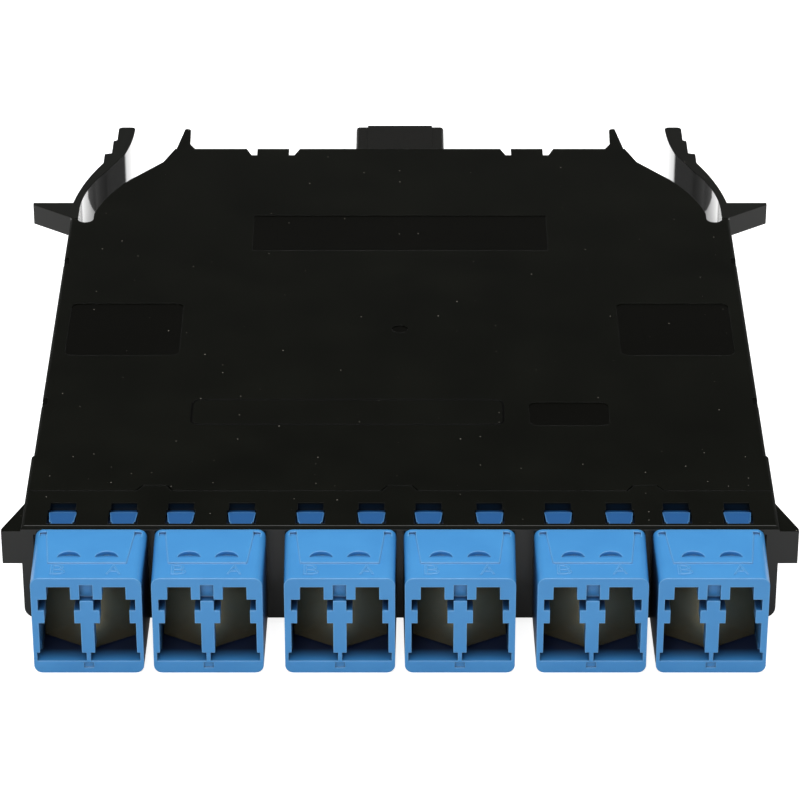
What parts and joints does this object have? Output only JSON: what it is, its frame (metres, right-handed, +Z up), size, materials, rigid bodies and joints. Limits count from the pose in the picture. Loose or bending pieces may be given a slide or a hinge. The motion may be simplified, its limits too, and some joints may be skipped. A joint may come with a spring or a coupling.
{
  "type": "fibre cassette",
  "caption": "Flat black cassette with shuttered blue duplex LC adapters along its front, an MPO port at the rear and squeeze arms that release its side catches.",
  "frame": {"origin": "bottom centre of the box round the whole cassette, at the underside of the adapters", "axes": "+X to the right as seen from the ports, +Y from the ports to the rear, +Z up"},
  "size_m": [0.0972, 0.117, 0.0131],
  "materials": {
    "housing_black": "satin moulded plastic with a fine grain",
    "adapter_blue": "satin moulded plastic",
    "shutter_bronze": "dark spring leaf",
    "plug_blue": "moulded plastic",
    "fibre_yellow": "extruded jacket",
    "mpo_black": "moulded plastic"
  },
  "bodies": {
    "cassette": {"housing_base": "housing_black", "housing_cover": "housing_black", "mpo_adapter": "mpo_black", "mpo_plug": "mpo_black", "fanout": "mpo_black", "adapter_1": "adapter_blue", "inner_plug_1": "plug_blue", "adapter_2": "adapter_blue", "inner_plug_2": "plug_blue", "adapter_3": "adapter_blue", "inner_plug_3": "plug_blue", "adapter_4": "adapter_blue", "inner_plug_4": "plug_blue", "adapter_5": "adapter_blue", "inner_plug_5": "plug_blue", "adapter_6": "adapter_blue", "inner_plug_6": "plug_blue", "fibre_1a": "fibre_yellow", "fibre_1b": "fibre_yellow", "fibre_2a": "fibre_yellow", "fibre_2b": "fibre_yellow", "fibre_3a": "fibre_yellow", "fibre_3b": "fibre_yellow", "fibre_4a": "fibre_yellow", "fibre_4b": "fibre_yellow", "fibre_5a": "fibre_yellow", "fibre_5b": "fibre_yellow", "fibre_6a": "fibre_yellow", "fibre_6b": "fibre_yellow"},
    "arm_left": {"release_arm_left": "housing_black"},
    "arm_right": {"release_arm_right": "housing_black"},
    "shutter_body_1a": {"shutter_1a": "shutter_bronze"},
    "shutter_body_1b": {"shutter_1b": "shutter_bronze"},
    "shutter_body_2a": {"shutter_2a": "shutter_bronze"},
    "shutter_body_2b": {"shutter_2b": "shutter_bronze"},
    "shutter_body_3a": {"shutter_3a": "shutter_bronze"},
    "shutter_body_3b": {"shutter_3b": "shutter_bronze"},
    "shutter_body_4a": {"shutter_4a": "shutter_bronze"},
    "shutter_body_4b": {"shutter_4b": "shutter_bronze"},
    "shutter_body_5a": {"shutter_5a": "shutter_bronze"},
    "shutter_body_5b": {"shutter_5b": "shutter_bronze"},
    "shutter_body_6a": {"shutter_6a": "shutter_bronze"},
    "shutter_body_6b": {"shutter_6b": "shutter_bronze"}
  },
  "joints": [
    {"name": "squeeze_left", "type": "hinge", "parent": "cassette", "child": "arm_left", "pos_m": [-0.0427, 0.02895, 0.00696], "axis": [0, 0, -1], "range_deg": [0, 8], "stiffness_Nm_per_rad": 0.3},
    {"name": "squeeze_right", "type": "hinge", "parent": "cassette", "child": "arm_right", "pos_m": [0.0427, 0.02895, 0.00696], "axis": [0, 0, 1], "range_deg": [0, 8], "stiffness_Nm_per_rad": 0.3},
    {"name": "shutter_swing_1a", "type": "hinge", "parent": "cassette", "child": "shutter_body_1a", "pos_m": [-0.03601, -0.0557, 0.00573], "axis": [0, 0, -1], "range_deg": [0, 58], "stiffness_Nm_per_rad": 0.00002},
    {"name": "shutter_swing_1b", "type": "hinge", "parent": "cassette", "child": "shutter_body_1b", "pos_m": [-0.03465, -0.0557, 0.00573], "axis": [0, 0, 1], "range_deg": [0, 58], "stiffness_Nm_per_rad": 0.00002},
    {"name": "shutter_swing_2a", "type": "hinge", "parent": "cassette", "child": "shutter_body_2a", "pos_m": [-0.02241, -0.0557, 0.00573], "axis": [0, 0, -1], "range_deg": [0, 58], "stiffness_Nm_per_rad": 0.00002},
    {"name": "shutter_swing_2b", "type": "hinge", "parent": "cassette", "child": "shutter_body_2b", "pos_m": [-0.02105, -0.0557, 0.00573], "axis": [0, 0, 1], "range_deg": [0, 58], "stiffness_Nm_per_rad": 0.00002},
    {"name": "shutter_swing_3a", "type": "hinge", "parent": "cassette", "child": "shutter_body_3a", "pos_m": [-0.00748, -0.0557, 0.00573], "axis": [0, 0, -1], "range_deg": [0, 58], "stiffness_Nm_per_rad": 0.00002},
    {"name": "shutter_swing_3b", "type": "hinge", "parent": "cassette", "child": "shutter_body_3b", "pos_m": [-0.00612, -0.0557, 0.00573], "axis": [0, 0, 1], "range_deg": [0, 58], "stiffness_Nm_per_rad": 0.00002},
    {"name": "shutter_swing_4a", "type": "hinge", "parent": "cassette", "child": "shutter_body_4a", "pos_m": [0.00612, -0.0557, 0.00573], "axis": [0, 0, -1], "range_deg": [0, 58], "stiffness_Nm_per_rad": 0.00002},
    {"name": "shutter_swing_4b", "type": "hinge", "parent": "cassette", "child": "shutter_body_4b", "pos_m": [0.00748, -0.0557, 0.00573], "axis": [0, 0, 1], "range_deg": [0, 58], "stiffness_Nm_per_rad": 0.00002},
    {"name": "shutter_swing_5a", "type": "hinge", "parent": "cassette", "child": "shutter_body_5a", "pos_m": [0.02105, -0.0557, 0.00573], "axis": [0, 0, -1], "range_deg": [0, 58], "stiffness_Nm_per_rad": 0.00002},
    {"name": "shutter_swing_5b", "type": "hinge", "parent": "cassette", "child": "shutter_body_5b", "pos_m": [0.02241, -0.0557, 0.00573], "axis": [0, 0, 1], "range_deg": [0, 58], "stiffness_Nm_per_rad": 0.00002},
    {"name": "shutter_swing_6a", "type": "hinge", "parent": "cassette", "child": "shutter_body_6a", "pos_m": [0.03465, -0.0557, 0.00573], "axis": [0, 0, -1], "range_deg": [0, 58], "stiffness_Nm_per_rad": 0.00002},
    {"name": "shutter_swing_6b", "type": "hinge", "parent": "cassette", "child": "shutter_body_6b", "pos_m": [0.03601, -0.0557, 0.00573], "axis": [0, 0, 1], "range_deg": [0, 58], "stiffness_Nm_per_rad": 0.00002}
  ]
}
